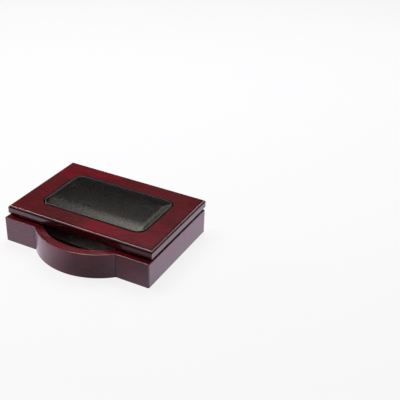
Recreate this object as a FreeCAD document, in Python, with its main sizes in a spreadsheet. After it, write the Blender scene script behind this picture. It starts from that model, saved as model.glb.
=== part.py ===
import FreeCAD, Part
import os
import Sketcher

# Desk memo box: a bow-fronted wooden tray for loose note sheets under a hinged lid that
# carries a padded leather inset.
# Frame: origin on the desk under the middle of the straight-sided box, +X right, +Y to the
# hinged back, +Z up. Lengths are in millimetres. The lid is modelled closed.

DIMENSIONS = {
    # wooden frame
    "base_width": 184.0,
    "base_depth": 127.5,
    "base_height": 29.7,
    "base_lift": 0.5,
    "side_wall": 7.7,
    "front_wall": 10.0,
    "rear_wall": 5.0,
    "bow_radius": 75.4,
    "bow_reach": 20.75,
    "corner_round": 1.5,
    "rim_round": 0.8,
    "inner_rim_round": 0.8,
    # bottom
    "panel_thickness": 3.0,
    "panel_rebate": 2.5,
    "panel_fit": 0.2,
    "felt_thickness": 1.0,
    "felt_inset": 0.5,
    # curved bed
    "bed_radius": 365.0,
    "bed_low": 15.0,
    "bed_fit": 0.3,
    "liner_thickness": 0.8,
    # note sheets
    "sheet_length": 152.4,
    "sheet_depth": 101.6,
    "stack_height": 3.0,
    "stack_clearance": 0.3,
    "stack_front_gap": 0.5,
    # lid
    "lid_side_inset": 0.5,
    "lid_setback": 6.75,
    "lid_rear_overhang": 1.25,
    "lid_gap": 0.4,
    "lid_band_height": 9.7,
    "lid_rear_round": 0.8,
    "lid_under_round": 0.5,
    "shadow_height": 2.1,
    "shadow_depth": 2.5,
    "ledge_width": 0.5,
    "bead_radius": 1.9,
    "top_step": 0.4,
    # leather inset
    "pad_length": 132.0,
    "pad_depth": 76.0,
    "pad_corner": 12.0,
    "pad_gap": 0.5,
    "recess_depth": 5.0,
    "recess_rim_round": 0.4,
    "pad_proud": 1.4,
    "leather_thickness": 1.2,
    "leather_round": 2.6,
    "board_thickness": 1.6,
    # hinges
    "hinge_spacing": 103.0,
    "hinge_width": 8.0,
    "middle_knuckle": 2.4,
    "knuckle_gap": 0.1,
    "barrel_radius": 1.2,
    "axis_overhang": 0.45,
    "leaf_depth": 4.0,
    "leaf_thickness": 0.7,
    "pin_radius": 0.5,
    "pin_clearance": 0.05,
    "pin_head_radius": 0.8,
    "pin_head_height": 0.35,
    "mortise_fit": 0.1,
    "stop_reach": 2.2,
    "stop_thickness": 0.6,
    "stop_clearance": 0.05,
    # hinge screws
    "screw_pitch": 5.0,
    "screw_radius": 0.5,
    "screw_head_radius": 1.0,
    "screw_head_height": 0.5,
    "screw_length": 5.0,
    "screw_fit": 0.05,
}

# Places that several pieces share, as expressions on the dimension sheet.
HALF_WIDTH = "(dims.base_width / 2)"
FRONT_FACE = "(-dims.base_depth / 2)"
REAR_FACE = "(dims.base_depth / 2)"
SIDE_INNER = f"({HALF_WIDTH} - dims.side_wall)"
FRONT_INNER = f"({FRONT_FACE} + dims.front_wall)"
REAR_INNER = f"({REAR_FACE} - dims.rear_wall)"
BOW_CENTRE = f"({FRONT_FACE} - dims.bow_reach + dims.bow_radius)"
BOW_INNER_RADIUS = "(dims.bow_radius - dims.front_wall)"
BOW_HALF_CHORD = f"sqrt(dims.bow_radius^2 - ({FRONT_FACE} - {BOW_CENTRE})^2)"
BOW_INNER_HALF_CHORD = f"sqrt({BOW_INNER_RADIUS}^2 - ({FRONT_INNER} - {BOW_CENTRE})^2)"

PANEL_LOW = "dims.felt_thickness"
PANEL_HIGH = f"({PANEL_LOW} + dims.panel_thickness)"
BED_AXIS = "(dims.bed_low + dims.bed_radius)"

LID_LOW = "(dims.base_height + dims.lid_gap)"
LID_BAND_LOW = f"({LID_LOW} + dims.shadow_height)"
LID_LEDGE = f"({LID_LOW} + dims.lid_band_height)"
LID_TOP = f"({LID_LEDGE} + dims.bead_radius + dims.top_step)"
LID_HALF_WIDTH = f"({HALF_WIDTH} - dims.lid_side_inset)"
LID_FRONT = f"({FRONT_FACE} + dims.lid_setback)"
LID_REAR = f"({REAR_FACE} + dims.lid_rear_overhang)"
LID_MIDDLE = f"(({LID_FRONT} + {LID_REAR}) / 2)"
RECESS_FLOOR = f"({LID_TOP} - dims.recess_depth)"
PAD_TOP = f"({LID_TOP} + dims.pad_proud)"

AXIS_Y = f"({REAR_FACE} + dims.axis_overhang)"
AXIS_Z = "(dims.base_height + dims.lid_gap / 2)"
LEAF_EDGE = f"({REAR_FACE} - dims.leaf_depth)"
KNUCKLE_CLEAR = f"({AXIS_Y} - dims.barrel_radius - dims.knuckle_gap)"
SCREW_LINE = f"(({LEAF_EDGE} + {KNUCKLE_CLEAR}) / 2)"
HINGE_SIDES = (("left", "(-dims.hinge_spacing / 2)"), ("right", "(dims.hinge_spacing / 2)"))

document = FreeCAD.newDocument("memo_box")
pieces = []


def fill_sheet():
    """Write the driving dimensions to the sheet, one row each."""
    sheet = document.addObject("Spreadsheet::Sheet", "dims")
    for row, (name, size) in enumerate(DIMENSIONS.items(), start=1):
        sheet.set(f"A{row}", name)
        sheet.set(f"B{row}", str(size))
        sheet.setAlias(f"B{row}", name)
    document.recompute()


def size(expression):
    """The present value of an expression on the sheet."""
    return float(document.getObject("dims").evalExpression(expression.replace("dims.", "")))


def piece(name, feature):
    """Give a finished object its sub-part name."""
    feature.Label = name
    pieces.append(feature)
    return feature


def body_plane(body, role):
    return next(plane for plane in body.Origin.OriginFeatures if plane.Role == role)


def tie(sketch, kind, arguments, expression):
    """Add a dimension constraint that follows an expression."""
    index = sketch.addConstraint(Sketcher.Constraint(kind, *arguments, size(expression)))
    sketch.setExpression(f"Constraints[{index}]", expression)


def draw_outline(sketch, corners, arcs=None):
    """Close a loop through corners; arcs gives (radius, bulge side) for the edge after a corner.

    The bulge side is the direction, +1 or -1 along the sketch's Y, that the arc bows to.
    """
    arcs = arcs or {}
    points = [FreeCAD.Vector(size(x), size(y), 0) for x, y in corners]
    ends = []
    for index, start in enumerate(points):
        end = points[(index + 1) % len(points)]
        if index in arcs:
            radius, side = size(arcs[index][0]), arcs[index][1]
            middle = (start + end) / 2
            rise = radius - (radius**2 - (end - start).Length**2 / 4) ** 0.5
            edge = Part.Arc(start, middle + FreeCAD.Vector(0, side * rise, 0), end)
            sketch.addGeometry(edge)
            forward = sketch.Geometry[index].StartPoint.distanceToPoint(start) < 1e-6
            ends.append((1, 2) if forward else (2, 1))
        else:
            sketch.addGeometry(Part.LineSegment(start, end))
            ends.append((1, 2))
    for index, (x, y) in enumerate(corners):
        following = (index + 1) % len(points)
        joint = Sketcher.Constraint("Coincident", index, ends[index][1], following, ends[following][0])
        sketch.addConstraint(joint)
        tie(sketch, "DistanceX", (-1, 1, index, ends[index][0]), x)
        tie(sketch, "DistanceY", (-1, 1, index, ends[index][0]), y)
    for index, (radius, _) in arcs.items():
        tie(sketch, "Radius", (index,), radius)


def body_sketch(body, name, corners, height="0", arcs=None):
    """A closed sketch parallel to the body's XY plane at a given height."""
    sketch = body.newObject("Sketcher::SketchObject", name)
    sketch.AttachmentSupport = [(body_plane(body, "XY_Plane"), "")]
    sketch.MapMode = "FlatFace"
    sketch.setExpression("AttachmentOffset.Base.z", height)
    draw_outline(sketch, corners, arcs)
    return sketch


def pad(body, name, sketch, length):
    feature = body.newObject("PartDesign::Pad", name)
    feature.Profile = sketch
    feature.setExpression("Length", length)
    document.recompute()
    return feature


def pocket(body, name, sketch, depth, upward=False):
    """Cut down from the sketch, or up from it."""
    before = body.Shape.Volume
    feature = body.newObject("PartDesign::Pocket", name)
    feature.Profile = sketch
    feature.Reversed = upward
    feature.setExpression("Length", depth)
    document.recompute()
    if body.Shape.Volume >= before:
        raise ValueError(f"{name} removes nothing")
    return feature


def round_edges(body, name, radius, wanted):
    """Fillet the edges of the body's tip that the test picks."""
    base = body.Tip
    names = [f"Edge{i}" for i, edge in enumerate(base.Shape.Edges, start=1) if wanted(edge)]
    feature = body.newObject("PartDesign::Fillet", name)
    feature.Base = (base, names)
    feature.setExpression("Radius", radius)
    document.recompute()
    return feature


def at_height(edge, height):
    """True for an edge that lies level at a height."""
    box = edge.BoundBox
    return abs(box.ZMin - height) < 1e-4 and abs(box.ZMax - height) < 1e-4


def is_upright(edge):
    box = edge.BoundBox
    return box.ZLength > 1e-3 and box.XLength < 1e-4 and box.YLength < 1e-4


def block(name, spans):
    """A box from its low and high expressions along X, Y and Z."""
    box = document.addObject("Part::Box", name)
    for side, axis, (low, high) in zip(("Length", "Width", "Height"), "xyz", spans):
        box.setExpression(side, f"{high} - {low}")
        box.setExpression(f"Placement.Base.{axis}", low)
    return box


def place(feature, place_xyz, turn=None):
    """Turn a primitive and bind where it stands."""
    if turn:
        feature.Placement = FreeCAD.Placement(FreeCAD.Vector(), FreeCAD.Rotation(*turn))
    for axis, expression in zip("xyz", place_xyz):
        feature.setExpression(f"Placement.Base.{axis}", expression)


ALONG_X = (FreeCAD.Vector(0, 1, 0), 90)
ALONG_Y = (FreeCAD.Vector(1, 0, 0), -90)
DOWNWARD = (FreeCAD.Vector(1, 0, 0), 180)


def rod(name, radius, length, start, turn=None):
    cylinder = document.addObject("Part::Cylinder", name)
    cylinder.setExpression("Radius", radius)
    cylinder.setExpression("Height", length)
    place(cylinder, start, turn)
    return cylinder


def cone(name, low_radius, high_radius, height, start, turn=None):
    taper = document.addObject("Part::Cone", name)
    taper.setExpression("Radius1", low_radius)
    taper.setExpression("Radius2", high_radius)
    taper.setExpression("Height", height)
    place(taper, start, turn)
    return taper


def boolean(kind, name, base, tool):
    feature = document.addObject(f"Part::{kind}", name)
    feature.Base = base
    feature.Tool = tool
    return feature


def join(name, shapes):
    feature = document.addObject("Part::MultiFuse", name)
    feature.Shapes = shapes
    return feature


def prism(name, corners, low, high, arcs=None):
    """An upright prism over a closed outline."""
    sketch = document.addObject("Sketcher::SketchObject", f"{name}_outline")
    draw_outline(sketch, corners, arcs)
    sketch.setExpression("Placement.Base.z", low)
    feature = document.addObject("Part::Extrusion", name)
    feature.Base = sketch
    feature.DirMode = "Normal"
    feature.Solid = True
    feature.setExpression("LengthFwd", f"{high} - {low}")
    return feature


def cavity_outline(offset):
    """The tray's inner outline, moved outward by offset, with its bow arc."""
    radius = f"({BOW_INNER_RADIUS} + {offset})"
    side = f"({SIDE_INNER} + {offset})"
    front = f"({FRONT_INNER} - {offset})"
    rear = f"({REAR_INNER} + {offset})"
    chord = f"sqrt({radius}^2 - ({front} - {BOW_CENTRE})^2)"
    corners = [
        (f"-{side}", rear),
        (f"-{side}", front),
        (f"-{chord}", front),
        (chord, front),
        (side, front),
        (side, rear),
    ]
    return corners, {2: (radius, -1)}


def make_frame_ring():
    """The glued-up wooden frame, before it is divided into its rails at the joints."""
    body = document.addObject("PartDesign::Body", "frame_ring")
    outline = [
        (f"-{HALF_WIDTH}", REAR_FACE),
        (f"-{HALF_WIDTH}", FRONT_FACE),
        (f"-{BOW_HALF_CHORD}", FRONT_FACE),
        (BOW_HALF_CHORD, FRONT_FACE),
        (HALF_WIDTH, FRONT_FACE),
        (HALF_WIDTH, REAR_FACE),
    ]
    outer = body_sketch(body, "frame_outline", outline, "dims.base_lift", {2: ("dims.bow_radius", -1)})
    pad(body, "frame_pad", outer, "dims.base_height - dims.base_lift")
    half_width = size(HALF_WIDTH)

    def is_box_corner(edge):
        return is_upright(edge) and abs(abs(edge.BoundBox.XMin) - half_width) < 1e-4

    round_edges(body, "box_corners", "dims.corner_round", is_box_corner)
    corners, arcs = cavity_outline("0")
    opening = body_sketch(body, "cavity", corners, "dims.base_height", arcs)
    pocket(body, "cavity_pocket", opening, "dims.base_height")
    corners, arcs = cavity_outline("dims.panel_rebate")
    rebate = body_sketch(body, "panel_seat", corners, "dims.base_lift", arcs)
    pocket(body, "panel_rebate", rebate, f"{PANEL_HIGH} - dims.base_lift", upward=True)
    return body


def joint_line(outer, inner):
    """The line of a glued joint from its outer to its inner corner, run on past both by its length."""
    past_outer = tuple(f"(2 * {far} - {near})" for far, near in zip(outer, inner))
    past_inner = tuple(f"(2 * {near} - {far})" for far, near in zip(outer, inner))
    return past_outer, past_inner


def round_rims(body, name):
    """Ease a rail's top edges, but not the ones that meet the next rail."""
    top = size("dims.base_height")
    inner_half_width = size(SIDE_INNER)
    inner_front, inner_rear = size(FRONT_INNER), size(REAR_INNER)
    inner_radius = size(BOW_INNER_RADIUS)
    centre = FreeCAD.Vector(0, size(BOW_CENTRE), top)

    def is_rim(edge):
        box = edge.BoundBox
        is_straight = isinstance(edge.Curve, Part.Line)
        is_oblique = box.XLength > 1e-4 and box.YLength > 1e-4
        return at_height(edge, top) and not (is_straight and is_oblique)

    def is_inner_rim(edge):
        point = edge.valueAt((edge.FirstParameter + edge.LastParameter) / 2)
        on_arc = abs(point.distanceToPoint(centre) - inner_radius) < 1e-3
        in_box = abs(point.x) < inner_half_width + 1e-3 and inner_front - 1e-3 < point.y < inner_rear + 1e-3
        return is_rim(edge) and (on_arc or in_box)

    def is_outer_rim(edge):
        return is_rim(edge) and not is_inner_rim(edge)

    round_edges(body, f"{name}_inner_rim", "dims.inner_rim_round", is_inner_rim)
    round_edges(body, f"{name}_outer_rim", "dims.rim_round", is_outer_rim)


def make_rails(ring):
    """Divide the ring at the mitred corners and at the ends of the bow."""
    front_right = joint_line((HALF_WIDTH, FRONT_FACE), (SIDE_INNER, FRONT_INNER))
    front_left = joint_line((f"-{HALF_WIDTH}", FRONT_FACE), (f"-{SIDE_INNER}", FRONT_INNER))
    rear_right = joint_line((HALF_WIDTH, REAR_FACE), (SIDE_INNER, REAR_INNER))
    rear_left = joint_line((f"-{HALF_WIDTH}", REAR_FACE), (f"-{SIDE_INNER}", REAR_INNER))
    bow_right = joint_line((BOW_HALF_CHORD, FRONT_FACE), (BOW_INNER_HALF_CHORD, FRONT_INNER))
    bow_left = joint_line((f"-{BOW_HALF_CHORD}", FRONT_FACE), (f"-{BOW_INNER_HALF_CHORD}", FRONT_INNER))
    past_bow = f"({FRONT_FACE} - 2 * dims.bow_reach)"
    bow_ends = [(bow_left[0][0], past_bow), (bow_right[0][0], past_bow)]
    regions = {
        "side_rail_left": [front_left[0], front_left[1], rear_left[1], rear_left[0]],
        "side_rail_right": [front_right[0], rear_right[0], rear_right[1], front_right[1]],
        "front_rail_left": [front_left[0], bow_left[0], bow_left[1], front_left[1]],
        "front_rail_right": [front_right[0], front_right[1], bow_right[1], bow_right[0]],
        "bow_front": [bow_left[0], *bow_ends, bow_right[0], bow_right[1], bow_left[1]],
        "rear_rail": [rear_left[0], rear_left[1], rear_right[1], rear_right[0]],
    }
    for name, corners in regions.items():
        region = prism(f"{name}_region", corners, "0", "dims.base_height + dims.base_lift")
        body = document.addObject("PartDesign::Body", f"{name}_body")
        body.BaseFeature = boolean("Common", f"{name}_blank", ring, region)
        document.recompute()
        round_rims(body, name)
        if name == "rear_rail":
            piece(name, boolean("Cut", "rear_rail_mortised", body, make_rail_mortises()))
        else:
            piece(name, body)


def hinge_span(centre, width):
    return (f"({centre} - {width} / 2)", f"({centre} + {width} / 2)")


def screw_places(centre):
    offset = "dims.screw_pitch / 2"
    return (f"({centre} - {offset})", f"({centre} + {offset})")


def screw_bores(name, centre, face, turn, fit):
    """Two screw-shaped solids, sunk from a leaf's face, larger all round by fit."""
    shapes = []
    for index, x in enumerate(screw_places(centre)):
        start = (x, SCREW_LINE, face)
        head_radius = f"dims.screw_head_radius + {fit}"
        shank_radius = f"dims.screw_radius + {fit}"
        head = cone(f"{name}_head_{index}", head_radius, shank_radius, "dims.screw_head_height", start, turn)
        shank = rod(f"{name}_shank_{index}", shank_radius, f"dims.screw_length + {fit}", start, turn)
        shapes.append(join(f"{name}_{index}", [head, shank]))
    return shapes


def make_rail_mortises():
    """Seats in the rear rail for the base leaves, barrels, stops and screws."""
    width = "(dims.hinge_width + 2 * dims.mortise_fit)"
    pin_width = "(dims.hinge_width + 2 * dims.pin_head_height + 2 * dims.mortise_fit)"
    barrel_room = "(dims.barrel_radius + dims.knuckle_gap)"
    stop_swing = "(dims.stop_reach + dims.knuckle_gap)"
    stop_depth = "(dims.leaf_thickness + dims.lid_gap / 2 + dims.stop_thickness + dims.knuckle_gap)"
    stop_room = f"sqrt({stop_swing}^2 + {stop_depth}^2)"
    tools = []
    for side, centre in HINGE_SIDES:
        across = hinge_span(centre, width)
        top = "(dims.base_height + dims.lid_gap)"
        rear = f"({AXIS_Y} + {barrel_room})"
        leaf_low = "(dims.base_height - dims.leaf_thickness)"
        leaf_seat = (f"({LEAF_EDGE} - dims.mortise_fit)", rear)
        tools.append(block(f"rail_leaf_seat_{side}", (across, leaf_seat, (leaf_low, top))))
        barrel_across = hinge_span(centre, pin_width)
        barrel_seat = (f"({AXIS_Y} - {barrel_room})", rear)
        barrel_low = f"({AXIS_Z} - {barrel_room})"
        tools.append(block(f"rail_barrel_seat_{side}", (barrel_across, barrel_seat, (barrel_low, top))))
        stop_across = hinge_span(centre, "(dims.middle_knuckle + 4 * dims.knuckle_gap)")
        stop_seat = (f"({AXIS_Y} - {stop_room})", rear)
        stop_low = f"({AXIS_Z} - {stop_room})"
        tools.append(block(f"rail_stop_room_{side}", (stop_across, stop_seat, (stop_low, top))))
        tools += screw_bores(f"rail_bore_{side}", centre, "dims.base_height", DOWNWARD, "dims.screw_fit")
    return join("rail_mortises", tools)


def make_lid_mortises():
    """Seats in the lid's underside for the lid leaves, barrels and screws."""
    width = "(dims.hinge_width + 2 * dims.mortise_fit)"
    pin_width = "(dims.hinge_width + 2 * dims.pin_head_height + 2 * dims.mortise_fit)"
    barrel_room = "(dims.barrel_radius + dims.knuckle_gap)"
    tools = []
    for side, centre in HINGE_SIDES:
        across = hinge_span(centre, width)
        bottom = "dims.base_height"
        rear = f"({AXIS_Y} + {barrel_room})"
        leaf_seat = (f"({LEAF_EDGE} - dims.mortise_fit)", rear)
        leaf_high = f"({LID_LOW} + dims.leaf_thickness)"
        tools.append(block(f"lid_leaf_seat_{side}", (across, leaf_seat, (bottom, leaf_high))))
        barrel_across = hinge_span(centre, pin_width)
        barrel_seat = (f"({AXIS_Y} - {barrel_room})", rear)
        barrel_high = f"({AXIS_Z} + {barrel_room})"
        tools.append(block(f"lid_barrel_seat_{side}", (barrel_across, barrel_seat, (bottom, barrel_high))))
        tools += screw_bores(f"lid_bore_{side}", centre, LID_LOW, None, "dims.screw_fit")
    return join("lid_mortises", tools)


def make_bottom():
    """The panel let into the frame from below, and the felt under it."""
    corners, arcs = cavity_outline("(dims.panel_rebate - dims.panel_fit)")
    piece("bottom_panel", prism("bottom_panel_shape", corners, PANEL_LOW, PANEL_HIGH, arcs))
    corners, arcs = cavity_outline("(0 - dims.felt_inset)")
    piece("base_felt", prism("base_felt_shape", corners, "0", PANEL_LOW, arcs))


def bed_cylinder(name, radius):
    """A cylinder about the bed's axis, which runs front to back above the tray."""
    start = f"({FRONT_FACE} - dims.bow_reach)"
    length = "(dims.base_depth + dims.bow_reach)"
    return rod(name, radius, length, ("0", start, BED_AXIS), ALONG_Y)


def make_bed():
    """The block with the hollow top that bends the sheets, and its dark lining."""
    corners, arcs = cavity_outline("(0 - dims.bed_fit)")
    block_blank = prism("bed_blank", corners, PANEL_HIGH, "dims.base_height", arcs)
    hollow = bed_cylinder("bed_hollow", "dims.bed_radius + dims.liner_thickness")
    piece("bed_block", boolean("Cut", "bed_block_shape", block_blank, hollow))
    liner_blank = prism("liner_blank", corners, PANEL_HIGH, "dims.base_height", arcs)
    liner_outside = bed_cylinder("liner_outside", "dims.bed_radius + dims.liner_thickness")
    liner_inside = bed_cylinder("liner_inside", "dims.bed_radius")
    layer = boolean("Cut", "liner_layer", liner_outside, liner_inside)
    piece("bed_liner", boolean("Common", "bed_liner_shape", liner_blank, layer))


def make_sheets():
    """The stack of loose sheets, bent to the bed and drawn to the front of the tray."""
    front = f"({FRONT_INNER} + dims.stack_front_gap)"
    rear = f"({front} + dims.sheet_depth)"
    across = ("(-dims.sheet_length / 2)", "(dims.sheet_length / 2)")
    room = block("sheet_room", (across, (front, rear), ("0", "dims.base_height")))
    outside = bed_cylinder("stack_outside", "dims.bed_radius - dims.stack_clearance")
    inside = bed_cylinder("stack_inside", "dims.bed_radius - dims.stack_clearance - dims.stack_height")
    layer = boolean("Cut", "stack_layer", outside, inside)
    piece("memo_sheets", boolean("Common", "memo_sheets_shape", room, layer))


def lid_rectangle(inset):
    half = f"({LID_HALF_WIDTH} - {inset})"
    front = f"({LID_FRONT} + {inset})"
    rear = f"({LID_REAR} - {inset})"
    return [(f"-{half}", rear), (f"-{half}", front), (half, front), (half, rear)]


def rounded_rectangle(length, depth, corner):
    """Corners and arcs of a rounded rectangle about the middle of the lid."""
    half = f"({length} / 2)"
    front = f"({LID_MIDDLE} - {depth} / 2)"
    rear = f"({LID_MIDDLE} + {depth} / 2)"
    inner = f"({half} - {corner})"
    corners = [
        (f"-{half}", f"({rear} - {corner})"),
        (f"-{half}", f"({front} + {corner})"),
        (f"-{inner}", front),
        (inner, front),
        (half, f"({front} + {corner})"),
        (half, f"({rear} - {corner})"),
        (inner, rear),
        (f"-{inner}", rear),
    ]
    return corners


def draw_rounded(sketch, length, depth, corner):
    """A rounded rectangle whose corner arcs are tangent quarter circles."""
    corners = rounded_rectangle(length, depth, corner)
    points = [FreeCAD.Vector(size(x), size(y), 0) for x, y in corners]
    radius = size(corner)
    lean = radius * (1 - 0.5**0.5)
    middle_y = size(LID_MIDDLE)
    for index, start in enumerate(points):
        end = points[(index + 1) % len(points)]
        if index % 2:
            corner_x = max(start.x, end.x, key=abs)
            corner_y = max(start.y, end.y, key=lambda y: abs(y - middle_y))
            toward_x = -1 if corner_x > 0 else 1
            toward_y = -1 if corner_y > middle_y else 1
            middle = FreeCAD.Vector(corner_x + toward_x * lean, corner_y + toward_y * lean, 0)
            sketch.addGeometry(Part.Arc(start, middle, end))
        else:
            sketch.addGeometry(Part.LineSegment(start, end))
    for index, (x, y) in enumerate(corners):
        following = (index + 1) % len(points)
        ends = Sketcher.Constraint("Coincident", index, 2, following, 1)
        sketch.addConstraint(ends)
        tie(sketch, "DistanceX", (-1, 1, index, 1), x)
        tie(sketch, "DistanceY", (-1, 1, index, 1), y)
        if index % 2:
            tie(sketch, "Radius", (index,), corner)


def rounded_body_sketch(body, name, height, length, depth, corner):
    sketch = body.newObject("Sketcher::SketchObject", name)
    sketch.AttachmentSupport = [(body_plane(body, "XY_Plane"), "")]
    sketch.MapMode = "FlatFace"
    sketch.setExpression("AttachmentOffset.Base.z", height)
    draw_rounded(sketch, length, depth, corner)
    return sketch


def shadow_line_outline():
    """The strip of the lid's underside that the shadow line takes, along its front and sides."""
    outer = lid_rectangle("0")
    inner = f"({LID_HALF_WIDTH} - dims.shadow_depth)"
    front = f"({LID_FRONT} + dims.shadow_depth)"
    return outer + [(inner, LID_REAR), (inner, front), (f"-{inner}", front), (f"-{inner}", LID_REAR)]


def make_lid_panel():
    """The lid board: shadow line below, plain band, bead with a small step each side, recess."""
    body = document.addObject("PartDesign::Body", "lid_board")
    band = body_sketch(body, "lid_band", lid_rectangle("0"), LID_LOW)
    pad(body, "lid_band_pad", band, "dims.lid_band_height")
    low = size(LID_LOW)
    rear = size(LID_REAR)
    round_edges(body, "lid_rear_edge", "dims.lid_rear_round",
                lambda edge: at_height(edge, low) and edge.BoundBox.YMin > rear - 1e-3)
    shadow = body_sketch(body, "shadow_line_outline", shadow_line_outline(), LID_BAND_LOW)
    pocket(body, "shadow_line", shadow, "dims.shadow_height")
    band_low, front = size(LID_BAND_LOW), size(LID_FRONT)
    round_edges(body, "lid_underside", "dims.lid_under_round",
                lambda edge: at_height(edge, band_low) and edge.BoundBox.YMin < front + 1e-3)
    bead = body_sketch(body, "lid_bead", lid_rectangle("dims.ledge_width"), LID_LEDGE)
    pad(body, "lid_bead_pad", bead, "dims.bead_radius")
    field_inset = "(dims.ledge_width + dims.bead_radius)"
    bead_high = size(f"{LID_LEDGE} + dims.bead_radius")
    round_edges(body, "bead_round", "dims.bead_radius - 0.02", lambda edge: at_height(edge, bead_high))
    field_low = f"({LID_LEDGE} + dims.bead_radius)"
    field = body_sketch(body, "lid_field", lid_rectangle(field_inset), field_low)
    pad(body, "lid_field_pad", field, "dims.top_step")
    length = "(dims.pad_length + 2 * dims.pad_gap)"
    depth = "(dims.pad_depth + 2 * dims.pad_gap)"
    corner = "(dims.pad_corner + dims.pad_gap)"
    recess = rounded_body_sketch(body, "recess_outline", LID_TOP, length, depth, corner)
    pocket(body, "recess", recess, "dims.recess_depth")
    top = size(LID_TOP)
    half_recess = size(f"{length} / 2")
    round_edges(body, "recess_rim", "dims.recess_rim_round",
                lambda edge: at_height(edge, top) and abs(edge.CenterOfMass.x) < half_recess + 1e-3
                and abs(edge.CenterOfMass.y - size(LID_MIDDLE)) < size(f"{depth} / 2") + 1e-3)
    piece("lid_panel", boolean("Cut", "lid_mortised", body, make_lid_mortises()))


def make_leather_inset():
    """The stiff board, the foam and the leather wrapped over them, set in the lid's recess."""
    inner_length = "(dims.pad_length - 2 * dims.leather_thickness)"
    inner_depth = "(dims.pad_depth - 2 * dims.leather_thickness)"
    inner_corner = "(dims.pad_corner - dims.leather_thickness)"
    foam_low = f"({RECESS_FLOOR} + dims.board_thickness)"
    foam_high = f"({PAD_TOP} - dims.leather_thickness)"
    layers = (
        ("pad_board", RECESS_FLOOR, "dims.board_thickness"),
        ("pad_foam", foam_low, f"{foam_high} - {foam_low}"),
    )
    for name, low, thickness in layers:
        body = document.addObject("PartDesign::Body", f"{name}_body")
        sketch = rounded_body_sketch(body, f"{name}_outline", low, inner_length, inner_depth, inner_corner)
        pad(body, f"{name}_pad", sketch, thickness)
        piece(name, body)
    body = document.addObject("PartDesign::Body", "leather_body")
    outside = rounded_body_sketch(body, "leather_outline", RECESS_FLOOR,
                                  "dims.pad_length", "dims.pad_depth", "dims.pad_corner")
    pad(body, "leather_pad_block", outside, f"{PAD_TOP} - {RECESS_FLOOR}")
    top = size(PAD_TOP)
    round_edges(body, "leather_shoulder", "dims.leather_round", lambda edge: at_height(edge, top))
    inside = rounded_body_sketch(body, "leather_inside", RECESS_FLOOR,
                                 inner_length, inner_depth, inner_corner)
    pocket(body, "leather_hollow", inside, f"{foam_high} - {RECESS_FLOOR}", upward=True)
    piece("leather_pad", body)


def make_hinge(side, centre):
    """One three-knuckle butt hinge with a stop that ends the swing when the lid is upright."""
    width = "dims.hinge_width"
    half_gap = "dims.knuckle_gap / 2"
    middle_low, middle_high = hinge_span(centre, "dims.middle_knuckle")
    outer_low, outer_high = hinge_span(centre, width)
    outer_spans = ((outer_low, f"({middle_low} - {half_gap})"), (f"({middle_high} + {half_gap})", outer_high))
    middle_span = (f"({middle_low} + {half_gap})", f"({middle_high} - {half_gap})")
    bore_start = (outer_low, AXIS_Y, AXIS_Z)
    bore_radius = "dims.pin_radius + dims.pin_clearance"

    base_heights = ("(dims.base_height - dims.leaf_thickness)", "dims.base_height")
    plate_depth = (LEAF_EDGE, KNUCKLE_CLEAR)
    arm_depth = (KNUCKLE_CLEAR, AXIS_Y)
    base_parts = [block(f"base_plate_{side}", ((outer_low, outer_high), plate_depth, base_heights))]
    for index, span in enumerate(outer_spans):
        base_parts.append(block(f"base_arm_{side}_{index}", (span, arm_depth, base_heights)))
        start = (span[0], AXIS_Y, AXIS_Z)
        knuckle_length = f"{span[1]} - {span[0]}"
        base_parts.append(rod(f"base_knuckle_{side}_{index}", "dims.barrel_radius", knuckle_length,
                              start, ALONG_X))
    base_blank = join(f"base_leaf_blank_{side}", base_parts)
    base_bore = rod(f"base_pin_bore_{side}", bore_radius, width, bore_start, ALONG_X)
    base_tools = [base_bore] + screw_bores(f"base_leaf_bore_{side}", centre, "dims.base_height",
                                           DOWNWARD, "dims.screw_fit")
    base_cutter = join(f"base_leaf_cutter_{side}", base_tools)
    piece(f"hinge_base_leaf_{side}", boolean("Cut", f"base_leaf_{side}", base_blank, base_cutter))

    lid_heights = (LID_LOW, f"({LID_LOW} + dims.leaf_thickness)")
    lid_parts = [block(f"lid_plate_{side}", ((outer_low, outer_high), plate_depth, lid_heights))]
    lid_parts.append(block(f"lid_arm_{side}", (middle_span, arm_depth, lid_heights)))
    lid_parts.append(rod(f"lid_knuckle_{side}", "dims.barrel_radius", f"{middle_span[1]} - {middle_span[0]}",
                         (middle_span[0], AXIS_Y, AXIS_Z), ALONG_X))
    # With the lid upright this stop lies under the base leaf, whose underside it then meets.
    stop_inner = f"({AXIS_Y} + dims.leaf_thickness + dims.lid_gap / 2 + dims.stop_clearance)"
    stop_depth = (stop_inner, f"({stop_inner} + dims.stop_thickness)")
    stop_heights = (f"({AXIS_Z} - dims.stop_reach)", f"({AXIS_Z} - dims.pin_radius)")
    lid_parts.append(block(f"lid_stop_{side}", (middle_span, stop_depth, stop_heights)))
    lid_blank = join(f"lid_leaf_blank_{side}", lid_parts)
    lid_bore = rod(f"lid_pin_bore_{side}", bore_radius, width, bore_start, ALONG_X)
    lid_tools = [lid_bore] + screw_bores(f"lid_leaf_bore_{side}", centre, LID_LOW, None, "dims.screw_fit")
    lid_cutter = join(f"lid_leaf_cutter_{side}", lid_tools)
    piece(f"hinge_lid_leaf_{side}", boolean("Cut", f"lid_leaf_{side}", lid_blank, lid_cutter))

    pin_shank = rod(f"pin_shank_{side}", "dims.pin_radius", width, bore_start, ALONG_X)
    near_head = rod(f"pin_near_head_{side}", "dims.pin_head_radius", "dims.pin_head_height",
                    (f"({outer_low} - dims.pin_head_height)", AXIS_Y, AXIS_Z), ALONG_X)
    far_head = rod(f"pin_far_head_{side}", "dims.pin_head_radius", "dims.pin_head_height",
                   (outer_high, AXIS_Y, AXIS_Z), ALONG_X)
    piece(f"hinge_pin_{side}", join(f"pin_{side}", [pin_shank, near_head, far_head]))


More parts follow.
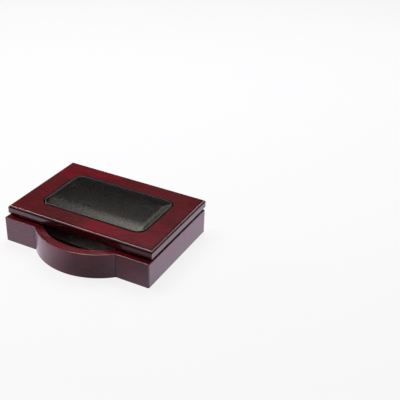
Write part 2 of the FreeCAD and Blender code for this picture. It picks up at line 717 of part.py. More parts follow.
def make_hinge_screws():
    """Countersunk screws, two for each leaf, grouped by the body that they hold to."""
    groups = (("base_hinge_screws", "dims.base_height", DOWNWARD), ("lid_hinge_screws", LID_LOW, None))
    for name, face, turn in groups:
        screws = []
        for side, centre in HINGE_SIDES:
            screws += screw_bores(f"{name}_{side}", centre, face, turn, "0")
        group = document.addObject("Part::Compound", f"{name}_group")
        group.Links = screws
        piece(name, group)


def check_and_export():
    """Stop on any failed object or bad shape, then write one file for each sub-part."""
    document.recompute()
    for item in document.Objects:
        if "Invalid" in item.State or "Error" in item.State:
            raise ValueError(f"{item.Name} did not compute: {item.State}")
    for feature in pieces:
        if feature.Shape.isNull() or not feature.Shape.isValid():
            raise ValueError(f"{feature.Label} has no valid shape")
    os.makedirs("parts", exist_ok=True)
    for feature in pieces:
        feature.Shape.exportStep(f"parts/{feature.Label}.step")
        solids = len(feature.Shape.Solids)
        print(f"{feature.Label}: {solids} solid(s), {feature.Shape.Volume:.2f} mm3")


fill_sheet()
make_rails(make_frame_ring())
make_bottom()
make_bed()
make_sheets()
make_lid_panel()
make_leather_inset()
for hinge_side, hinge_centre in HINGE_SIDES:
    make_hinge(hinge_side, hinge_centre)
make_hinge_screws()
check_and_export()
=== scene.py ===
import math
import random

import bmesh
import bpy
from mathutils import Euler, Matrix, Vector


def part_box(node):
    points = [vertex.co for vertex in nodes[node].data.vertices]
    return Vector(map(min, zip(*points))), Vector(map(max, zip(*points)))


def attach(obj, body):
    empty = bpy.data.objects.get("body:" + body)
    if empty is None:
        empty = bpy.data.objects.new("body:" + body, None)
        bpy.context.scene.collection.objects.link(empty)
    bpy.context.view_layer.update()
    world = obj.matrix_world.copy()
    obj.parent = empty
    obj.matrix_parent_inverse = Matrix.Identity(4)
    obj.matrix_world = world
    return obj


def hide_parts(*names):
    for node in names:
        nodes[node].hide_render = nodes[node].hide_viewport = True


# A desk memo box: a wooden tray with a bowed front and a hinged lid, lacquered dark red, a padded
# leather inset in the lid, and loose note sheets on a dark lined bed. Lengths are in metres, in
# the frame of the CAD part.

MM = 0.001

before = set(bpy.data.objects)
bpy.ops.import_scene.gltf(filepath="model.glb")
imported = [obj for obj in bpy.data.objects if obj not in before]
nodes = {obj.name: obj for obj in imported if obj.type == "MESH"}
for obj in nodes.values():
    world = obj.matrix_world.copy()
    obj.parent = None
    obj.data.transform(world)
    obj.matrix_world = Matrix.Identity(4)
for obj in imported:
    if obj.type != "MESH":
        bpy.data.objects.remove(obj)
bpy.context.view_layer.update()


# ---------------------------------------------------------------- node helpers


def linear(red, green, blue):
    """An sRGB colour, 0 to 255 a channel, as linear RGBA."""
    channels = []
    for value in (red / 255, green / 255, blue / 255):
        low = value / 12.92
        channels.append(low if value <= 0.04045 else ((value + 0.055) / 1.055) ** 2.4)
    return (*channels, 1.0)


class Graph:
    """The node tree of a new material or world, with short ways to add and join nodes.

    For a material, place is the point on the piece and facing its normal, in the piece's own
    frame. For the world, direction is where a ray goes.
    """

    def __init__(self, name, kind="Material"):
        owners = bpy.data.worlds if kind == "World" else bpy.data.materials
        self.owner = owners.new(name)
        self.owner.use_nodes = True
        self.tree = self.owner.node_tree
        self.tree.nodes.clear()
        self.output = self.tree.nodes.new(f"ShaderNodeOutput{kind}")
        coordinates = self.add("ShaderNodeTexCoord").outputs
        self.place = coordinates["Object"]
        self.facing = coordinates["Normal"]
        self.direction = coordinates["Generated"]

    def feed(self, socket, value):
        if isinstance(value, bpy.types.NodeSocket):
            self.tree.links.new(value, socket)
        else:
            socket.default_value = value

    def add(self, kind, sockets=None, **settings):
        node = self.tree.nodes.new(kind)
        for name, value in settings.items():
            setattr(node, name, value)
        for name, value in (sockets or {}).items():
            self.feed(node.inputs[name], value)
        return node

    def math(self, operation, *values):
        node = self.add("ShaderNodeMath", operation=operation)
        for socket, value in zip(node.inputs, values):
            self.feed(socket, value)
        return node.outputs[0]

    def hypot(self, first, second):
        squares = [self.math("MULTIPLY", value, value) for value in (first, second)]
        return self.math("SQRT", self.math("ADD", *squares))

    def split(self, vector):
        return self.add("ShaderNodeSeparateXYZ", {"Vector": vector}).outputs

    def join(self, x, y, z):
        return self.add("ShaderNodeCombineXYZ", {"X": x, "Y": y, "Z": z}).outputs[0]

    def stretch(self, vector, scale, shift=(0, 0, 0)):
        node = self.add("ShaderNodeMapping", {"Vector": vector, "Scale": scale, "Location": shift})
        return node.outputs[0]

    def ramp(self, value, start, end, low=0.0, high=1.0):
        """Low before start, high after end, and a smooth step between."""
        sockets = {"Value": value, "From Min": start, "From Max": end}
        sockets |= {"To Min": low, "To Max": high}
        node = self.add("ShaderNodeMapRange", sockets, interpolation_type="SMOOTHSTEP")
        return node.outputs["Result"]

    def band(self, value, centre, reach):
        """1 at the centre, falling smoothly to 0 at reach to either side."""
        distance = self.math("ABSOLUTE", self.math("SUBTRACT", value, centre))
        return self.ramp(distance, 0.0, reach, 1.0, 0.0)

    def noise(self, vector, scale=1.0, detail=2.0, roughness=0.5, distortion=0.0):
        sockets = {"Vector": vector, "Scale": scale, "Detail": detail}
        sockets |= {"Roughness": roughness, "Distortion": distortion}
        return self.add("ShaderNodeTexNoise", sockets).outputs[0]

    def mix(self, factor, first, second):
        """The first colour where factor is 0, the second where it is 1."""
        node = self.add("ShaderNodeMix", data_type="RGBA")
        for index, value in ((0, factor), (6, first), (7, second)):
            self.feed(node.inputs[index], value)
        return node.outputs[2]

    def seen_directly(self):
        """1 for rays that come straight from the camera, else 0."""
        path = self.add("ShaderNodeLightPath").outputs
        return self.math("MAXIMUM", path["Is Camera Ray"], path["Is Transmission Ray"])

    def mix_shaders(self, factor, first, second):
        """The output is the first shader where factor is 0, the second where it is 1."""
        node = self.add("ShaderNodeMixShader", {0: factor, 1: first, 2: second})
        self.feed(self.output.inputs["Surface"], node.outputs[0])

    def bump(self, height, distance, strength=1.0, under=None):
        sockets = {"Height": height, "Distance": distance, "Strength": strength}
        if under is not None:
            sockets["Normal"] = under
        return self.add("ShaderNodeBump", sockets).outputs[0]

    def surface(self, **sockets):
        """A Principled surface, its sockets named with _ for spaces. Returns the material."""
        shader = self.add("ShaderNodeBsdfPrincipled")
        for name, value in sockets.items():
            self.feed(shader.inputs[name.replace("_", " ")], value)
        self.feed(self.output.inputs["Surface"], shader.outputs[0])
        return self.owner


# ---------------------------------------------------------------- materials

# Scales of noise and cells are per metre: 900 gives pebbles of about 1 mm. A stretch gives the
# scale along each coordinate.

# Where the CAD part's edges lie, for the masks that follow them.
BOW_CENTRE_Y = -9.1 * MM
BOW_RADIUS = 75.4 * MM
BOW_JOINT_X = 51.95 * MM
FRONT_Y = -63.75 * MM
LID_HALF_WIDTH = 91.5 * MM
LID_HALF_DEPTH = 61 * MM
LID_MIDDLE_Y = 4 * MM
LID_BAND_LOW_Z = 32.2 * MM
LID_LEDGE_Z = 39.8 * MM
LID_TOP_Z = 42.1 * MM
LID_FIELD_INSET = 2.4 * MM
RECESS_HALF_X = 66.5 * MM
RECESS_HALF_Y = 38.5 * MM
RECESS_CORNER = 12.5 * MM

# The wood's two ground colours, on the lid and on the rails.
CRIMSON = linear(138, 20, 38)
BROWN_RED = linear(111, 28, 36)
RAIL_RED = linear(119, 18, 35)
RAIL_BROWN = linear(94, 23, 30)

# What is laid over them: grain, painted shade, painted highlight and dark joint lines.
CLOUD_RED = linear(74, 18, 24)
STREAK_RED = linear(66, 16, 22)
PORE_RED = linear(36, 8, 12)
# Painted shade on the band round the lid.
BAND_SHADE_RED = linear(30, 8, 10)
# Painted highlight on the wood's rounded edges.
ARRIS_HIGHLIGHT_RED = linear(160, 104, 98)
# Dark joint lines, and painted shade in the lid's steps, under its edge and round its recess.
JOINT_AND_SHADE_RED = linear(14, 3, 5)

# Scales of the wood's patterns, along the grain, across it and through it.
PATCH_SCALE = (9, 20, 20)
CLOUD_SCALE = (26, 60, 60)
STREAK_SCALE = (16, 620, 620)
PORE_SCALE = (110, 2900, 2900)

LACQUER_IOR = 1.7
LACQUER_ROUGHNESS = 0.15
LACQUER_WAVE = 0.03 * MM


def along_x(graph):
    """Coordinates whose first runs along the grain, here from left to right."""
    return graph.place


def along_y(graph):
    """The same for a piece that runs from front to back."""
    x, y, z = graph.split(graph.place)
    return graph.join(y, x, z)


def round_the_bow(graph):
    """Coordinates that run round the bow, out from its axis, and up."""
    x, y, z = graph.split(graph.place)
    back = graph.math("SUBTRACT", BOW_CENTRE_Y, y)
    turn = graph.math("ARCTAN2", x, back)
    return graph.join(graph.math("MULTIPLY", turn, BOW_RADIUS), graph.hypot(x, back), z)


def arris(graph, is_round=False):
    """0 on flat faces and up to about 0.3 on rounded edges, from the piece's own normal."""
    x, y, z = (graph.math("ABSOLUTE", part) for part in graph.split(graph.facing))
    flat = graph.hypot(x, y) if is_round else graph.math("MAXIMUM", x, y)
    return graph.math("SUBTRACT", 1.0, graph.math("MAXIMUM", flat, z))


def wood(
    name,
    seed,
    grain=along_x,
    is_round=False,
    marks=None,
    painted_shade=None,
    reds=(RAIL_RED, RAIL_BROWN),
    figure=0.24,
    edge_highlight=0.5,
):
    """Dark red lacquered wood, with a figure of its own for each seed.

    grain(graph) gives coordinates along the fibres, marks(graph) a mask of dark joint lines and
    painted shade, and painted_shade(graph) a mask of painted shade on the lid's band. is_round is
    for a piece whose sides are curved. figure is how strong the streaks are, and edge_highlight
    how strong the painted highlight on the rounded edges is.
    """
    graph = Graph(name)
    shift = (0.173 * seed, 0.291 * seed, 0.117 * seed)
    fibre = grain(graph)
    patches = graph.noise(graph.stretch(fibre, PATCH_SCALE, shift), detail=2.0)
    clouds = graph.noise(graph.stretch(fibre, CLOUD_SCALE, shift), detail=3.0, distortion=0.6)
    streaks = graph.noise(graph.stretch(fibre, STREAK_SCALE, shift), detail=5.0, roughness=0.65)
    pores = graph.noise(graph.stretch(fibre, PORE_SCALE, shift), detail=2.0)
    colour = graph.mix(graph.ramp(patches, 0.42, 0.58), *reds)
    colour = graph.mix(graph.ramp(clouds, 0.42, 0.68, 0.0, 0.5), colour, CLOUD_RED)
    colour = graph.mix(graph.ramp(streaks, 0.4, 0.62, 0.0, figure), colour, STREAK_RED)
    colour = graph.mix(graph.ramp(pores, 0.52, 0.66, 0.0, 0.5), colour, PORE_RED)
    edge = graph.ramp(arris(graph, is_round), 0.02, 0.2, 0.0, edge_highlight)
    # Painted shade on the masked parts, which lose their painted edge highlight.
    if painted_shade:
        shaded = painted_shade(graph)
        colour = graph.mix(graph.math("MULTIPLY", shaded, 0.5), colour, BAND_SHADE_RED)
        edge = graph.math("MULTIPLY", edge, graph.math("SUBTRACT", 1.0, shaded))
    # Painted highlight: the rounded edges are mixed towards a light pink.
    colour = graph.mix(edge, colour, ARRIS_HIGHLIGHT_RED)
    lacquer = 1.0
    roughness = graph.ramp(streaks, 0.3, 0.7, 0.24, 0.32)
    # Dark joint lines, and painted shade in the moulding's steps and shadow lines, without
    # lacquer.
    if marks:
        joints_and_shade = marks(graph)
        colour = graph.mix(joints_and_shade, colour, JOINT_AND_SHADE_RED)
        lacquer = graph.math("SUBTRACT", 1.0, joints_and_shade)
        roughness = graph.math("MAXIMUM", roughness, graph.math("MULTIPLY", joints_and_shade, 0.9))
    raised = graph.math("MULTIPLY", streaks, 0.6)
    height = graph.math("ADD", raised, graph.math("MULTIPLY", pores, -0.4))
    return graph.surface(
        Base_Color=colour,
        Roughness=roughness,
        Specular_IOR_Level=0.12,
        Coat_Weight=lacquer,
        Coat_Roughness=LACQUER_ROUGHNESS,
        Coat_IOR=LACQUER_IOR,
        Normal=graph.bump(height, LACQUER_WAVE, 0.5),
    )


def bow_joints(graph):
    """The glue lines where the bow meets the straight front rails."""
    x, y, _ = graph.split(graph.place)
    line = graph.band(graph.math("ABSOLUTE", x), BOW_JOINT_X, 0.8 * MM)
    front = graph.ramp(y, FRONT_Y - 1.5 * MM, FRONT_Y + 1.5 * MM, 1.0, 0.0)
    return graph.math("MULTIPLY", line, front)


def lid_inset(graph):
    """How far a point lies outside the lid's outline, negative inside it."""
    x, y, _ = graph.split(graph.place)
    outside_x = graph.math("SUBTRACT", graph.math("ABSOLUTE", x), LID_HALF_WIDTH)
    off_middle = graph.math("ABSOLUTE", graph.math("SUBTRACT", y, LID_MIDDLE_Y))
    return graph.math("MAXIMUM", outside_x, graph.math("SUBTRACT", off_middle, LID_HALF_DEPTH))


def recess_shade_line(graph):
    """Painted shade as a dark line round the recess, as a mask: the distance to a rounded
    rectangle is small.
    """
    x, y, z = graph.split(graph.place)
    past_x = graph.math("SUBTRACT", graph.math("ABSOLUTE", x), RECESS_HALF_X - RECESS_CORNER)
    off_middle = graph.math("ABSOLUTE", graph.math("SUBTRACT", y, LID_MIDDLE_Y))
    past_y = graph.math("SUBTRACT", off_middle, RECESS_HALF_Y - RECESS_CORNER)
    reach = graph.hypot(graph.math("MAXIMUM", past_x, 0.0), graph.math("MAXIMUM", past_y, 0.0))
    inner = graph.math("MINIMUM", graph.math("MAXIMUM", past_x, past_y), 0.0)
    outside = graph.math("SUBTRACT", graph.math("ADD", reach, inner), RECESS_CORNER)
    near = graph.ramp(outside, 0.3 * MM, 0.8 * MM, 1.0, 0.0)
    above_floor = graph.ramp(z, LID_TOP_Z - 6.0 * MM, LID_TOP_Z - 5.5 * MM)
    return graph.math("MULTIPLY", near, above_floor)


def moulding_shade_lines(graph):
    """Painted shade in the steps by the lid's bead, in the shadow line under its edge and round
    the recess.
    """
    z = graph.split(graph.place)[2]
    inset = lid_inset(graph)
    near_top = graph.ramp(z, LID_TOP_Z - 1.2 * MM, LID_TOP_Z - 0.5 * MM)
    upper = graph.band(inset, -LID_FIELD_INSET, 0.7 * MM)
    upper = graph.math("MULTIPLY", upper, near_top)
    lower = graph.band(z, LID_LEDGE_Z - 0.1 * MM, 1.0 * MM)
    lower = graph.math("MULTIPLY", lower, graph.ramp(inset, -1.6 * MM, -0.8 * MM))
    # Painted shade under the lid's edge, in its rebate.
    under = graph.ramp(z, LID_BAND_LOW_Z - 0.1 * MM, LID_BAND_LOW_Z + 0.3 * MM, 1.0, 0.0)
    under = graph.math("MULTIPLY", under, graph.ramp(inset, -1.2 * MM, -0.6 * MM, 1.0, 0.0))
    under = graph.math("MULTIPLY", under, graph.ramp(inset, -4.0 * MM, -2.8 * MM, 0.0, 0.6))
    lines = graph.ramp(graph.math("MAXIMUM", upper, lower), 0.0, 0.6)
    rim = graph.math("MULTIPLY", recess_shade_line(graph), 0.85)
    return graph.math("MAXIMUM", graph.math("MAXIMUM", lines, under), rim)


def lid_band_shade(graph):
    """The plain band round the lid below its bead, with painted shade that makes it darker than
    the top.
    """
    z = graph.split(graph.place)[2]
    return graph.ramp(z, LID_LEDGE_Z - 0.6 * MM, LID_LEDGE_Z, 1.0, 0.0)


def leather():
    """Black leather with a fine pebbled grain, uneven gloss and faint creases."""
    dark, light, gap = linear(6, 5, 4), linear(15, 12, 10), linear(7, 5, 5)
    pebble_height, crease_height, sway_reach = 0.045 * MM, 0.1 * MM, 1.6 * MM
    graph = Graph("leather_black")
    noise = graph.add("ShaderNodeTexNoise", {"Vector": graph.place, "Scale": 240.0, "Detail": 2.0})
    sway = graph.stretch(noise.outputs["Color"], (sway_reach, sway_reach, sway_reach))
    warped = graph.add("ShaderNodeVectorMath", {0: graph.place, 1: sway}, operation="ADD")
    sockets = {"Vector": warped.outputs[0], "Scale": 900.0}
    cells = graph.add("ShaderNodeTexVoronoi", sockets, feature="DISTANCE_TO_EDGE")
    pebbles = graph.ramp(cells.outputs["Distance"], 0.0, 0.3)
    clumps = graph.noise(graph.place, 850.0, 4.0, 0.6)
    creases = graph.noise(graph.stretch(graph.place, (110, 190, 110)), 1.0, 4.0, 0.6, 0.8)
    colour = graph.mix(graph.ramp(clumps, 0.35, 0.65), dark, light)
    colour = graph.mix(graph.math("SUBTRACT", 1.0, pebbles), colour, gap)
    height = graph.math("ADD", graph.math("MULTIPLY", pebbles, 0.7), clumps)
    normal = graph.bump(creases, crease_height, 0.3)
    return graph.surface(
        Base_Color=colour,
        Roughness=graph.ramp(clumps, 0.35, 0.65, 0.21, 0.3),
        Specular_IOR_Level=0.42,
        Specular_Tint=(1.0, 0.95, 0.9, 1.0),
        Normal=graph.bump(height, pebble_height, 1.0, normal),
    )


def lining():
    """The dark woven lining of the bed."""
    worn, fresh, gap = linear(90, 77, 69), linear(114, 98, 89), linear(40, 34, 31)
    graph = Graph("lining_dark")
    weave = graph.noise(graph.stretch(graph.place, (1500, 900, 900)), 1.0, 3.0, 0.6)
    patches = graph.noise(graph.place, 60.0, 3.0)
    colour = graph.mix(graph.ramp(patches, 0.35, 0.65), worn, fresh)
    colour = graph.mix(graph.ramp(weave, 0.35, 0.65, 0.0, 0.5), colour, gap)
    return graph.surface(
        Base_Color=colour,
        Roughness=0.6,
        Sheen_Weight=0.3,
        Sheen_Roughness=0.4,
        Normal=graph.bump(weave, 0.06 * MM, 0.6),
    )


def felt(name, low, high, scale=700.0):
    """Matted fibres between a low and a high colour, for the felt and for the foam."""
    graph = Graph(name)
    hairs = graph.noise(graph.stretch(graph.place, (1.0, 2.2, 1.0)), scale, 5.0, 0.7, 1.5)
    tufts = graph.noise(graph.place, scale / 9, 3.0)
    colour = graph.mix(graph.ramp(hairs, 0.35, 0.65), low, high)
    colour = graph.mix(graph.ramp(tufts, 0.35, 0.7, 0.0, 0.3), colour, low)
    return graph.surface(
        Base_Color=colour,
        Roughness=0.95,
        Sheen_Weight=0.4,
        Sheen_Roughness=0.6,
        Normal=graph.bump(hairs, 0.2 * MM, 0.7),
    )


def paper():
    """White note paper, slightly warm."""
    light, dull, fibre = linear(248, 246, 242), linear(243, 241, 236), linear(222, 217, 210)
    graph = Graph("note_paper")
    fibres = graph.noise(graph.stretch(graph.place, (1.0, 1.4, 1.0)), 1600.0, 4.0, 0.65)
    cloud = graph.noise(graph.place, 45.0, 3.0)
    colour = graph.mix(graph.ramp(cloud, 0.3, 0.7), light, dull)
    colour = graph.mix(graph.ramp(fibres, 0.5, 0.75, 0.0, 0.25), colour, fibre)
    normal = graph.bump(fibres, 0.03 * MM, 0.4)
    return graph.surface(Base_Color=colour, Roughness=0.85, Normal=normal)


def board(name, light, dark, scale):
    """Pressed fibre: fibreboard, or the grey board under the leather."""
    graph = Graph(name)
    chips = graph.noise(graph.stretch(graph.place, (1.0, 1.0, 3.0)), scale, 5.0, 0.7)
    specks = graph.noise(graph.place, scale * 3, 2.0)
    colour = graph.mix(graph.ramp(chips, 0.35, 0.65), dark, light)
    colour = graph.mix(graph.ramp(specks, 0.58, 0.68, 0.0, 0.5), colour, dark)
    normal = graph.bump(chips, 0.1 * MM, 0.5)
    return graph.surface(Base_Color=colour, Roughness=0.88, Normal=normal)


def brass():
    """Brushed brass, slightly tarnished."""
    bright, dull = linear(196, 160, 98), linear(150, 112, 60)
    graph = Graph("brass_satin")
    brushed = graph.noise(graph.stretch(graph.place, (300, 5200, 5200)), 1.0, 4.0, 0.6)
    tarnish = graph.noise(graph.place, 240.0, 3.0)
    colour = graph.mix(graph.ramp(tarnish, 0.35, 0.7), bright, dull)
    return graph.surface(
        Base_Color=colour,
        Metallic=1.0,
        Roughness=graph.ramp(brushed, 0.3, 0.7, 0.26, 0.42),
        Normal=graph.bump(brushed, 0.01 * MM, 0.4),
    )


def dress(node, material):
    """Give a CAD node its material."""
    mesh = nodes[node].data
    mesh.materials.clear()
    mesh.materials.append(material)


# ---------------------------------------------------------------- pieces


def add_object(name, data):
    added = bpy.data.objects.new(name, data)
    bpy.context.scene.collection.objects.link(added)
    return added


def new_piece(name, made, body, material):
    """A visible piece from a filled bmesh, which is freed."""
    mesh = bpy.data.meshes.new(name)
    made.to_mesh(mesh)
    made.free()
    mesh.materials.append(material)
    piece = add_object(name, mesh)
    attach(piece, body)
    return piece


def rounded_outline(half_x, half_y, corner, count_straight=14, count_corner=12):
    """Points of a rounded rectangle, anticlockwise from its front right corner."""
    flat_x = half_x - corner
    flat_y = half_y - corner
    quarters = (
        ((flat_x, -flat_y), -90, (half_x, flat_y)),
        ((flat_x, flat_y), 0, (-flat_x, half_y)),
        ((-flat_x, flat_y), 90, (-half_x, -flat_y)),
        ((-flat_x, -flat_y), 180, (flat_x, -half_y)),
    )
    points = []
    for centre, start, side_end in quarters:
        for step in range(count_corner + 1):
            angle = math.radians(start + 90 * step / count_corner)
            points.append(Vector(centre) + corner * Vector((math.cos(angle), math.sin(angle))))
        here, there = points[-1], Vector(side_end)
        points += [here.lerp(there, step / count_straight) for step in range(1, count_straight)]
    return points


def pad_profile(top):
    """The padded leather from its foot to its crown, as (inset in x, inset in y, height).

    A steep wall, then a tight edge, then a wide soft roll, narrower at the left and right.
    """
    wall = 1.4 * MM
    wall_foot = top - 5.8 * MM
    tuck, tuck_drop = 0.5 * MM, 0.6 * MM
    edge, edge_drop, edge_steps = 0.7 * MM, 1.0 * MM, 8
    roll, roll_width, roll_steps = 2.4 * MM, 19.0 * MM, 16
    roll_power = 1.9
    side_share = 0.38

    def rolled(inset):
        return top - roll * (1 - min(inset / roll_width, 1)) ** roll_power

    rim = wall + edge
    profile = [(wall + tuck, wall + tuck, wall_foot - tuck_drop), (wall, wall, wall_foot)]
    for step in range(edge_steps):
        turn = math.radians(90 * step / edge_steps)
        inset = wall + edge * (1 - math.cos(turn))
        profile.append((inset, inset, rolled(rim) - edge_drop * (1 - math.sin(turn))))
    for step in range(roll_steps + 1):
        inset = (roll_width - rim) * step / roll_steps
        profile.append((rim + side_share * inset, rim + inset, rolled(rim + inset)))
    return profile


def make_leather_pad():
    """The padded leather: steep sides, edges rolled over the foam and a slightly full top."""
    low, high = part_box("leather_pad")
    half_x = (high.x - low.x) / 2
    half_y = (high.y - low.y) / 2
    corner, least_corner = 12 * MM, 1.5 * MM
    crown_rise, fullness, crown_steps = 1.1 * MM, 0.25 * MM, 24
    crown = high.z + crown_rise
    rings = []
    for inset_x, inset_y, height in pad_profile(crown - fullness):
        rounding = max(corner - inset_y, least_corner)
        outline = rounded_outline(half_x - inset_x, half_y - inset_y, rounding)
        rings.append([(x, y + LID_MIDDLE_Y, height) for x, y in outline])
    for step in range(1, crown_steps):
        share = 1 - step / crown_steps
        height = crown - fullness * share**2
        rings.append([(x * share, y * share + LID_MIDDLE_Y, height) for x, y in outline])
    made = bmesh.new()
    grid = [[made.verts.new(point) for point in row] for row in rings]
    count = len(grid[0])
    for lower, upper in zip(grid, grid[1:]):
        for index in range(count):
            after = (index + 1) % count
            made.faces.new((lower[index], lower[after], upper[after], upper[index]))
    made.faces.new(grid[-1])
    made.faces.new(list(reversed(grid[0])))
    for face in made.faces:
        face.smooth = True
    pad = new_piece("leather_cushion", made, "lid", leather())
    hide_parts("leather_pad")


def make_sheets():
    """A loose stack of thin sheets, bent to the bed, each a little out of line."""
    low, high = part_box("memo_sheets")
    chance = random.Random(11)
    count, stack_height = 26, 3.0 * MM
    pitch = stack_height / count
    thickness = pitch * 0.8
    bed_radius, bed_axis_z, clearance = 365 * MM, 380 * MM, 0.3 * MM
    half_length = 76.2 * MM
    middle_y = (low.y + high.y) / 2
    half_depth = (high.y - low.y) / 2
    columns, rows = 48, 8
    made = bmesh.new()
    for sheet in range(count):
        shift_x = chance.uniform(-0.5, 0.5) * MM
        shift_y = chance.uniform(-0.3, 0.25) * MM
        turn = math.radians(chance.uniform(-0.12, 0.12))
        radius = bed_radius - clearance - pitch * sheet
        layers = []
        for depth in (0.0, thickness):
            grid = []
            for row in range(rows + 1):
                line = []
                for column in range(columns + 1):
                    along = (column / columns * 2 - 1) * half_length
                    across = (row / rows * 2 - 1) * half_depth
                    x = along * math.cos(turn) - across * math.sin(turn) + shift_x
                    y = along * math.sin(turn) + across * math.cos(turn) + middle_y + shift_y
                    z = bed_axis_z - math.sqrt((radius - depth) ** 2 - x**2)
                    line.append(made.verts.new((x, y, z)))
                grid.append(line)
            layers.append(grid)
        under, over = layers
        for row in range(rows):
            for column in range(columns):
                quad = [(row, column), (row, column + 1), (row + 1, column + 1), (row + 1, column)]
                made.faces.new([over[r][c] for r, c in quad])
                made.faces.new([under[r][c] for r, c in reversed(quad)])
        border = [(0, c) for c in range(columns)] + [(r, columns) for r in range(rows)]
        border += [(rows, c) for c in range(columns, 0, -1)] + [(r, 0) for r in range(rows, 0, -1)]
        for (r, c), (next_r, next_c) in zip(border, border[1:] + border[:1]):
            lower = (under[r][c], under[next_r][next_c])
            upper = (over[next_r][next_c], over[r][c])
            made.faces.new(lower + upper)
    stack = new_piece("note_sheets", made, "sheets", paper())
    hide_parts("memo_sheets")


def dress_nodes():
    """Every CAD node gets a material, also those that no view shows."""
    dress("side_rail_left", wood("wood_side_left", 1, along_y, edge_highlight=0.1))
    dress("side_rail_right", wood("wood_side_right", 2, along_y, edge_highlight=0.1))
    dress("front_rail_left", wood("wood_front_left", 3, marks=bow_joints))
    dress("front_rail_right", wood("wood_front_right", 4, marks=bow_joints))
    dress("bow_front", wood("wood_bow", 5, round_the_bow, is_round=True, marks=bow_joints))
    dress("rear_rail", wood("wood_rear", 6))
    lid_look = {"reds": (CRIMSON, BROWN_RED), "figure": 0.5, "edge_highlight": 0.75}
    dress("lid_panel", wood("wood_lid", 7, marks=moulding_shade_lines, painted_shade=lid_band_shade, **lid_look))
    fibreboard = board("fibreboard", linear(158, 128, 96), linear(120, 92, 66), 260.0)
    dress("bottom_panel", fibreboard)
    dress("bed_block", fibreboard)
    dress("bed_liner", lining())
    dress("base_felt", felt("base_felt", linear(22, 22, 23), linear(44, 44, 46)))
    dress("pad_board", board("grey_board", linear(150, 143, 132), linear(112, 106, 97), 420.0))
    dress("pad_foam", felt("pad_foam", linear(62, 62, 64), linear(96, 96, 98), 900.0))
    metal = brass()
    for node in nodes:
        if "hinge" in node:
            dress(node, metal)


# ---------------------------------------------------------------- camera, light and floor


# The camera was solved from the corners of the box in the photograph.
CAMERA_PLACE = (0.40986, -0.61113, 0.47710)
CAMERA_TURN = (59.7248, -2.1197, 26.9520)
CAMERA_LENS = 68.43

LIGHT_AIM = (0, 0, 0.02)
# Name, place, size, watts and colour of each rectangular lamp.
LIGHTS = (
    ("light_above", (-0.22, 0.58, 1.1), (0.75, 0.6), 8.4, (1.0, 0.98, 0.95)),
    ("light_strip", (-0.55, -0.06, 1.1), (0.2, 0.7), 5.5, (1.0, 0.86, 0.83)),
    ("light_back", (0.42, 1.0, 0.7), (0.5, 0.3), 1.0, (1.0, 1.0, 1.0)),
    ("light_corner", (0.2, 1.08, 0.6), (0.35, 0.25), 0.6, (1.0, 1.0, 1.0)),
    ("light_left", (-1.1, -0.12, 0.32), (1.0, 0.4), 2.6, (1.0, 1.0, 1.0)),
)

# How bright the room is near the horizon and high up, and between which heights it fades.
ROOM_LOW, ROOM_HIGH = 0.4, 0.015
ROOM_FADE = (0.02, 0.16)
# What the camera sees past the floor. It matches the far floor.
BACKDROP_STRENGTH = 0.85

WHITE = (1.0, 1.0, 1.0, 1.0)
BLACK = (0.0, 0.0, 0.0, 1.0)
FLOOR_REACH = 3.0
FLOOR_GLOW = 1.06
# How much of the floor glows, rather than being lit, to the camera and in reflections.
FLOOR_GLOW_SEEN = 0.8
FLOOR_GLOW_MIRRORED = 0.94
FLOOR_SHADE = (0.76, 0.74, 0.84, 1.0)
# The floor as the lacquer mirrors it: a faint lilac, with a painted shadow that makes it dimmer
# round a spot in front of the bow.
MIRRORED_SHADE = (0.96, 0.81, 1.0, 1.0)
MIRRORED_GLOW = (0.96, 0.82, 1.0, 1.0)
FLOOR_DIM_SPOT = (0.04, -0.13, 0.0)
FLOOR_DIM_REACH = (0.03, 0.12)
FLOOR_DIM_LEAST = 0.25


def make_camera():
    data = bpy.data.cameras.new("camera")
    data.sensor_width = 36.0
    data.lens = CAMERA_LENS
    data.clip_start = 0.01
    camera = add_object("camera", data)
    camera.location = CAMERA_PLACE
    camera.rotation_euler = Euler(map(math.radians, CAMERA_TURN))
    bpy.context.scene.camera = camera


def make_light(name, place, size, power, colour):
    data = bpy.data.lights.new(name, "AREA")
    data.shape = "RECTANGLE"
    data.size, data.size_y = size
    data.energy = power
    data.color = colour
    light = add_object(name, data)
    light.location = place
    aim = Vector(LIGHT_AIM) - Vector(place)
    light.rotation_euler = aim.to_track_quat("-Z", "Y").to_euler()


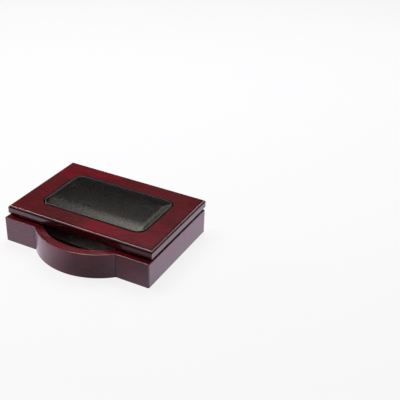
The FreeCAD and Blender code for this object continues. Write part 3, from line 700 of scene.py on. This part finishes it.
def make_world():
    """Pale to the camera; to other rays a dim room, bright only near the horizon."""
    graph = Graph("studio", "World")
    bpy.context.scene.world = graph.owner
    height = graph.split(graph.direction)[2]
    strength = graph.ramp(height, *ROOM_FADE, ROOM_LOW, ROOM_HIGH)
    room = graph.add("ShaderNodeBackground", {"Strength": strength})
    sockets = {"Color": WHITE, "Strength": BACKDROP_STRENGTH}
    backdrop = graph.add("ShaderNodeBackground", sockets)
    graph.mix_shaders(graph.seen_directly(), room.outputs[0], backdrop.outputs[0])


def make_floor():
    """A white floor: mostly glowing for the camera, so that only a faint shadow stays."""
    mesh = bpy.data.meshes.new("floor")
    reach = FLOOR_REACH
    corners = [(-reach, -reach, 0), (reach, -reach, 0), (reach, reach, 0), (-reach, reach, 0)]
    mesh.from_pydata(corners, [], [(0, 1, 2, 3)])
    floor = add_object("floor", mesh)
    graph = Graph("floor_white")
    is_mirrored = graph.add("ShaderNodeLightPath").outputs["Is Glossy Ray"]
    # A painted shadow in what the lacquer mirrors: the floor dims towards a spot in front of the
    # bow.
    sockets = {0: graph.place, 1: FLOOR_DIM_SPOT}
    off_spot = graph.add("ShaderNodeVectorMath", sockets, operation="DISTANCE").outputs["Value"]
    away = graph.ramp(off_spot, *FLOOR_DIM_REACH, FLOOR_DIM_LEAST, 1.0)
    dimmed = graph.mix(away, BLACK, MIRRORED_SHADE)
    shade_colour = graph.mix(is_mirrored, FLOOR_SHADE, dimmed)
    shade = graph.add("ShaderNodeBsdfDiffuse", {"Color": shade_colour})
    glow_colour = graph.mix(is_mirrored, WHITE, MIRRORED_GLOW)
    glow = graph.add("ShaderNodeEmission", {"Color": glow_colour, "Strength": FLOOR_GLOW})
    glow_seen = graph.math("MULTIPLY", graph.seen_directly(), FLOOR_GLOW_SEEN)
    glow_mirrored = graph.math("MULTIPLY", is_mirrored, FLOOR_GLOW_MIRRORED)
    glow_mirrored = graph.math("MULTIPLY", glow_mirrored, away)
    share = graph.math("MAXIMUM", glow_seen, glow_mirrored)
    graph.mix_shaders(share, shade.outputs[0], glow.outputs[0])
    mesh.materials.append(graph.owner)


def make_stage():
    make_camera()
    make_world()
    make_floor()
    for light in LIGHTS:
        make_light(*light)
    bpy.context.scene.view_settings.view_transform = "Standard"


dress_nodes()
make_leather_pad()
make_sheets()
make_stage()
